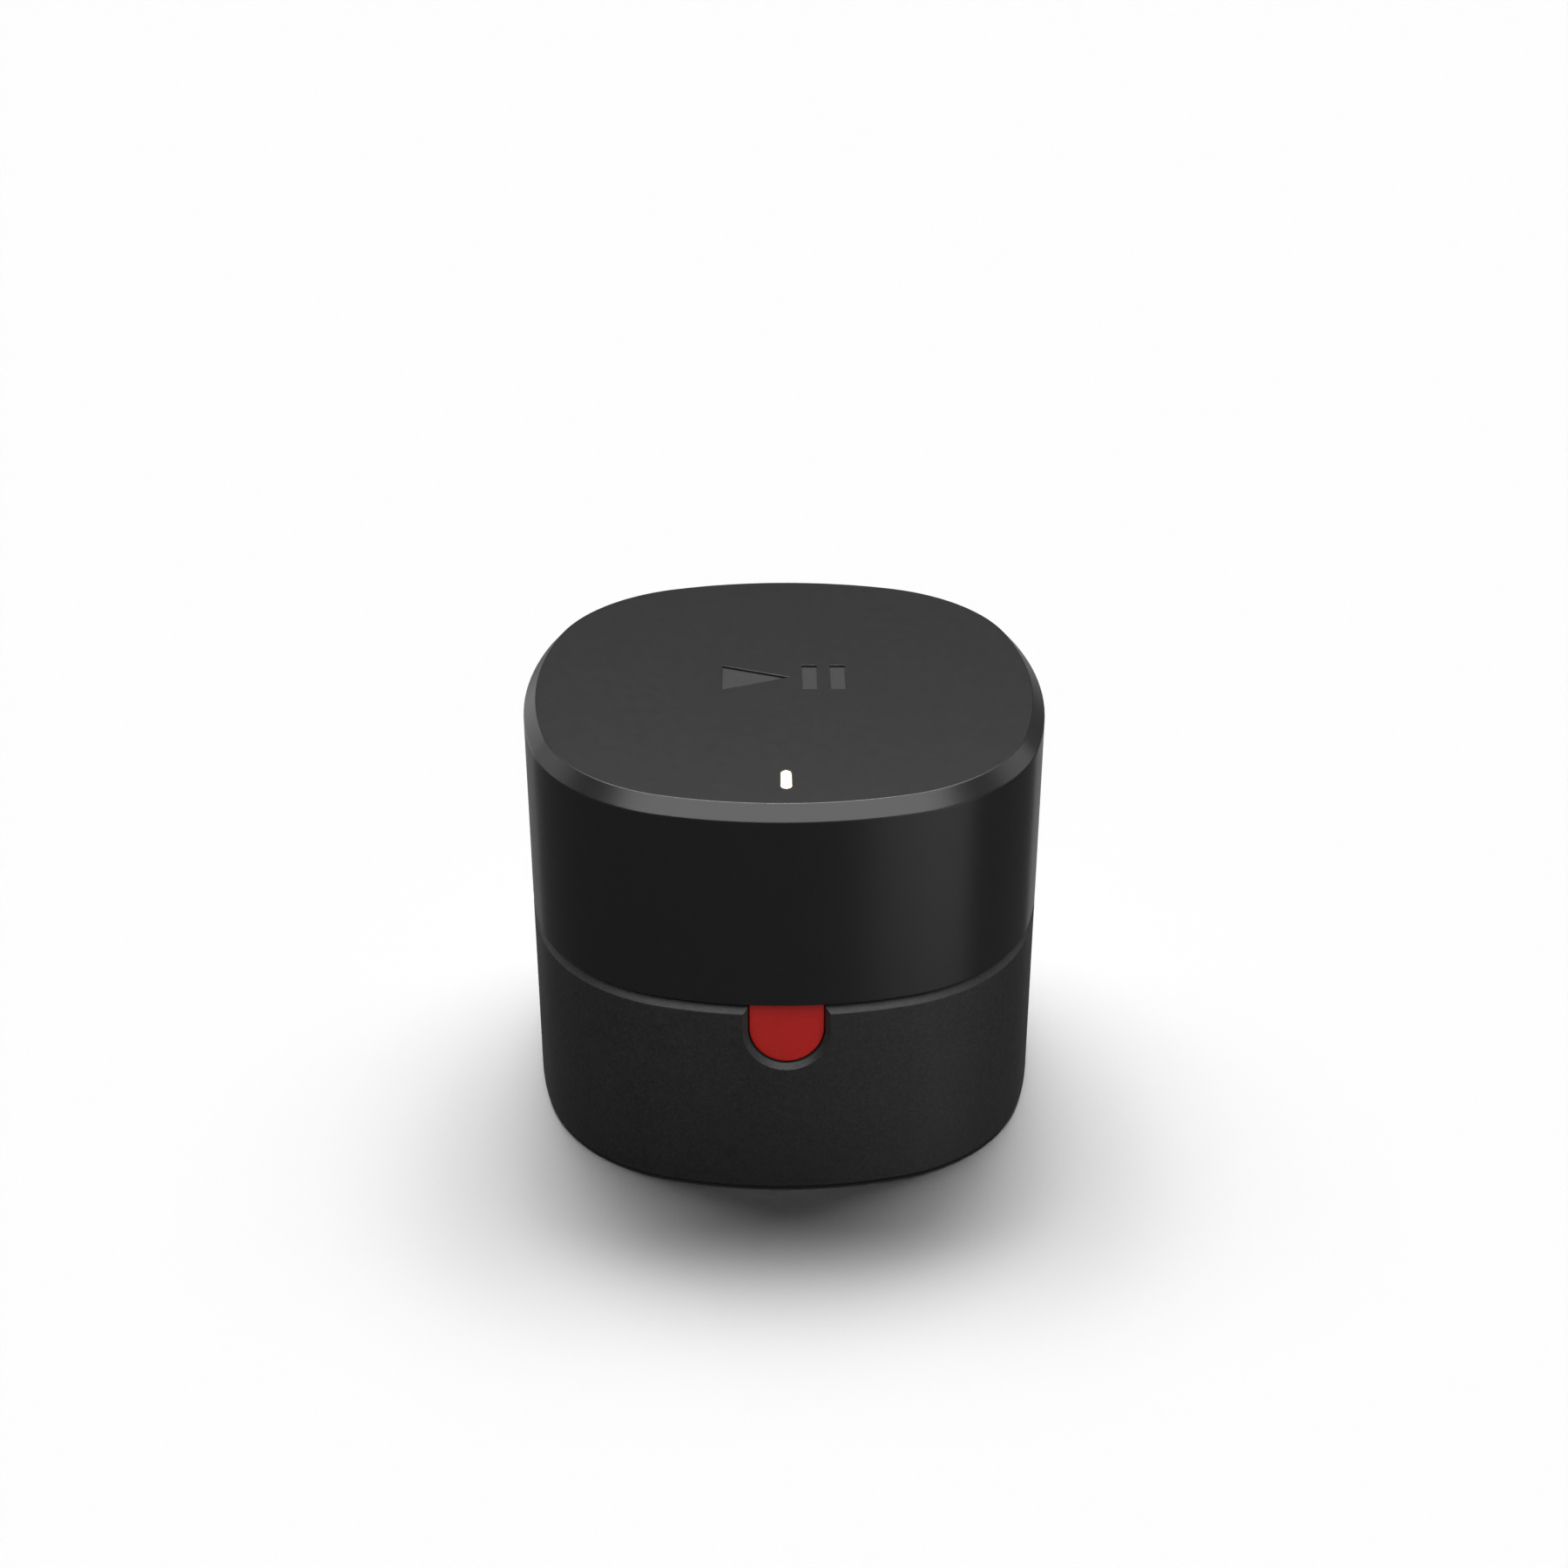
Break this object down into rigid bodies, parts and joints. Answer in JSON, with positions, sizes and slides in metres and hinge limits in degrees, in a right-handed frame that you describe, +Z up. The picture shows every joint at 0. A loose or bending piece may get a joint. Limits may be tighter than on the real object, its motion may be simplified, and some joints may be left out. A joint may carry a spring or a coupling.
{
  "type": "streaming media player",
  "caption": "Black rounded-square streaming media player in two stacked housings, with a red push button in a front notch, a top status light and rear sockets.",
  "frame": {"origin": "centre of the footprint, on the surface that the rubber foot stands on", "axes": "+Z up, the red button and the status light face -Y, the sockets face +Y, +X is to the right seen from the front"},
  "size_m": [0.088, 0.088, 0.073],
  "materials": {
    "upper_black": "moulded ABS, fine satin finish with a faint sheen",
    "lower_black": "moulded ABS, fine spark-eroded grain",
    "cover_black": "moulded ABS, matte grain",
    "foot_rubber": "matte silicone rubber, fine texture",
    "light_guide": "clear acrylic light guide, lit warm white",
    "button_red": "moulded satin plastic, red through the material",
    "inner_plastic": "unfinished moulded plastic",
    "board_green": "fibreglass board with green solder mask and copper tracks",
    "component_black": "moulded epoxy package",
    "socket_black": "black glass-filled nylon",
    "connector_white": "natural nylon",
    "thermal_pad": "soft filled silicone",
    "sink_aluminium": "extruded aluminium, brushed along the fins",
    "tinned_steel": "tin-plated stamped sheet",
    "screw_steel": "nickel-plated steel",
    "ribbon_white": "polyester flat cable with a blue stiffener",
    "cable_grey": "fluoropolymer jacket"
  },
  "bodies": {
    "player": {"upper_housing": "upper_black", "lower_housing": "lower_black", "bottom_cover": "cover_black", "rubber_foot": "foot_rubber", "status_light_pipe": "light_guide", "light_board": "board_green", "status_led": "connector_white", "button_guide": "inner_plastic", "button_board": "board_green", "switch_body": "component_black", "main_board": "board_green", "processor": "component_black", "thermal_pad": "thermal_pad", "heat_sink": "sink_aluminium", "memory_chip_left": "component_black", "memory_chip_right": "component_black", "radio_shield": "tinned_steel", "power_capacitor_front": "sink_aluminium", "power_capacitor_rear": "sink_aluminium", "power_inductor": "component_black", "power_socket": "socket_black", "hdmi_socket": "tinned_steel", "ethernet_socket": "tinned_steel", "light_connector": "connector_white", "button_connector": "connector_white", "light_ribbon": "ribbon_white", "button_ribbon": "ribbon_white", "antenna_left": "board_green", "antenna_cable_left": "cable_grey", "antenna_right": "board_green", "antenna_cable_right": "cable_grey", "housing_screw_1": "screw_steel", "housing_screw_2": "screw_steel", "housing_screw_3": "screw_steel", "housing_screw_4": "screw_steel", "cover_screw_1": "screw_steel", "cover_screw_2": "screw_steel", "cover_screw_3": "screw_steel", "cover_screw_4": "screw_steel", "board_screw_1": "screw_steel", "board_screw_2": "screw_steel", "board_screw_3": "screw_steel", "board_screw_4": "screw_steel", "heat_sink_screw_1": "screw_steel", "heat_sink_screw_2": "screw_steel", "guide_screw_1": "screw_steel", "guide_screw_2": "screw_steel", "light_board_screw_1": "screw_steel", "light_board_screw_2": "screw_steel"},
    "button": {"front_button": "button_red"},
    "plunger": {"switch_plunger": "connector_white"}
  },
  "joints": [
    {"name": "button_press", "type": "slide", "parent": "player", "child": "button", "axis": [0, 1, 0], "range_m": [0, 0.0008], "stiffness_N_per_m": 1200, "springref_m": -0.0004},
    {"name": "plunger_press", "type": "slide", "parent": "player", "child": "plunger", "axis": [0, 1, 0], "range_m": [0, 0.0008], "stiffness_N_per_m": 100, "springref_m": -0.0004}
  ],
  "couplings": [
    {"joint": "plunger_press", "follows": "button_press", "ratio": 1}
  ]
}
